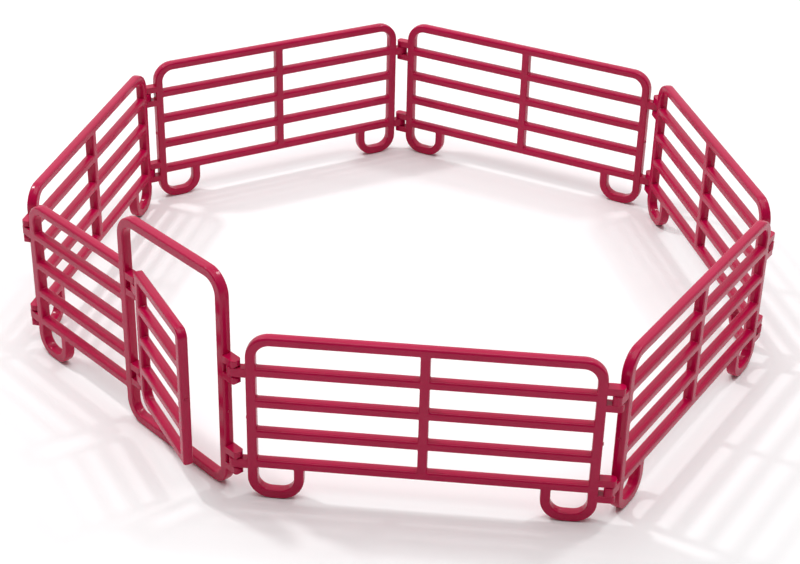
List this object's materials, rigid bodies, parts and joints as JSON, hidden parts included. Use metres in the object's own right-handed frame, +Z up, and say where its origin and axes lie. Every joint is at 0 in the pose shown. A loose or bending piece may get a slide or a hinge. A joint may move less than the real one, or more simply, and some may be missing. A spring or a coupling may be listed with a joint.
{
  "type": "toy corral ring with a walk-through gate",
  "caption": "Scale-model corral: rail panels and a gate section clipped into a closed ring, with D-shaped feet, round-topped panels and a small swing leaf in a taller gateway.",
  "frame": {"origin": "on the floor, in the middle of the rectangle that the ring covers", "axes": "+Z up; -Y is the front, with the gateway at the front left; X runs left to right along the front panel"},
  "size_m": [0.3424, 0.3544, 0.1024],
  "materials": {
    "red_plastic": "satin moulded plastic, crimson, self-coloured"
  },
  "bodies": {
    "gate_section": {"gateway_arch_top": "red_plastic", "gateway_far_stile": "red_plastic", "gateway_forks": "red_plastic", "gateway_hinge_stile": "red_plastic", "gateway_leaf_forks": "red_plastic", "gateway_sill": "red_plastic", "short_panel_end_post": "red_plastic", "short_panel_foot": "red_plastic", "short_panel_rails": "red_plastic", "short_panel_tongues": "red_plastic", "short_panel_top_tube": "red_plastic"},
    "gate_leaf": {"leaf_bars": "red_plastic", "leaf_free_stile": "red_plastic", "leaf_hinge_stile": "red_plastic", "leaf_tongues": "red_plastic"},
    "panel_1": {"panel_1_centre_post": "red_plastic", "panel_1_end_posts": "red_plastic", "panel_1_feet": "red_plastic", "panel_1_forks": "red_plastic", "panel_1_rails": "red_plastic", "panel_1_tongues": "red_plastic", "panel_1_top_tube": "red_plastic"},
    "panel_2": {"panel_2_centre_post": "red_plastic", "panel_2_end_posts": "red_plastic", "panel_2_feet": "red_plastic", "panel_2_forks": "red_plastic", "panel_2_rails": "red_plastic", "panel_2_tongues": "red_plastic", "panel_2_top_tube": "red_plastic"},
    "panel_3": {"panel_3_centre_post": "red_plastic", "panel_3_end_posts": "red_plastic", "panel_3_feet": "red_plastic", "panel_3_forks": "red_plastic", "panel_3_rails": "red_plastic", "panel_3_tongues": "red_plastic", "panel_3_top_tube": "red_plastic"},
    "panel_4": {"panel_4_centre_post": "red_plastic", "panel_4_end_posts": "red_plastic", "panel_4_feet": "red_plastic", "panel_4_forks": "red_plastic", "panel_4_rails": "red_plastic", "panel_4_tongues": "red_plastic", "panel_4_top_tube": "red_plastic"},
    "panel_5": {"panel_5_centre_post": "red_plastic", "panel_5_end_posts": "red_plastic", "panel_5_feet": "red_plastic", "panel_5_forks": "red_plastic", "panel_5_rails": "red_plastic", "panel_5_tongues": "red_plastic", "panel_5_top_tube": "red_plastic"},
    "panel_6": {"panel_6_centre_post": "red_plastic", "panel_6_end_posts": "red_plastic", "panel_6_feet": "red_plastic", "panel_6_forks": "red_plastic", "panel_6_rails": "red_plastic", "panel_6_tongues": "red_plastic", "panel_6_top_tube": "red_plastic"}
  },
  "joints": [
    {"name": "leaf_swing", "type": "hinge", "parent": "gate_section", "child": "gate_leaf", "pos_m": [-0.10997, -0.11149, 0], "axis": [0, 0, -1], "range_deg": [-115.5, 84.5]},
    {"name": "panel_1_clip", "type": "hinge", "parent": "gate_section", "child": "panel_1", "pos_m": [-0.06416, -0.16079, 0], "axis": [0, 0, -1], "range_deg": [0, 87.1]},
    {"name": "panel_2_clip", "type": "hinge", "parent": "panel_1", "child": "panel_2", "pos_m": [0.08826, -0.17412, 0], "axis": [0, 0, -1], "range_deg": [0, 108.3]},
    {"name": "panel_3_clip", "type": "hinge", "parent": "panel_2", "child": "panel_3", "pos_m": [0.16866, -0.04395, 0], "axis": [0, 0, -1], "range_deg": [0, 89.4]},
    {"name": "panel_6_clip", "type": "hinge", "parent": "gate_section", "child": "panel_6", "pos_m": [-0.16831, -0.04871, 0], "axis": [0, 0, 1], "range_deg": [0, 100.3]},
    {"name": "panel_5_clip", "type": "hinge", "parent": "panel_6", "child": "panel_5", "pos_m": [-0.13544, 0.10072, 0], "axis": [0, 0, 1], "range_deg": [0, 93.75]},
    {"name": "panel_4_clip", "type": "hinge", "parent": "panel_5", "child": "panel_4", "pos_m": [-0.00143, 0.17453, 0], "axis": [0, 0, 1], "range_deg": [0, 100.74]}
  ]
}
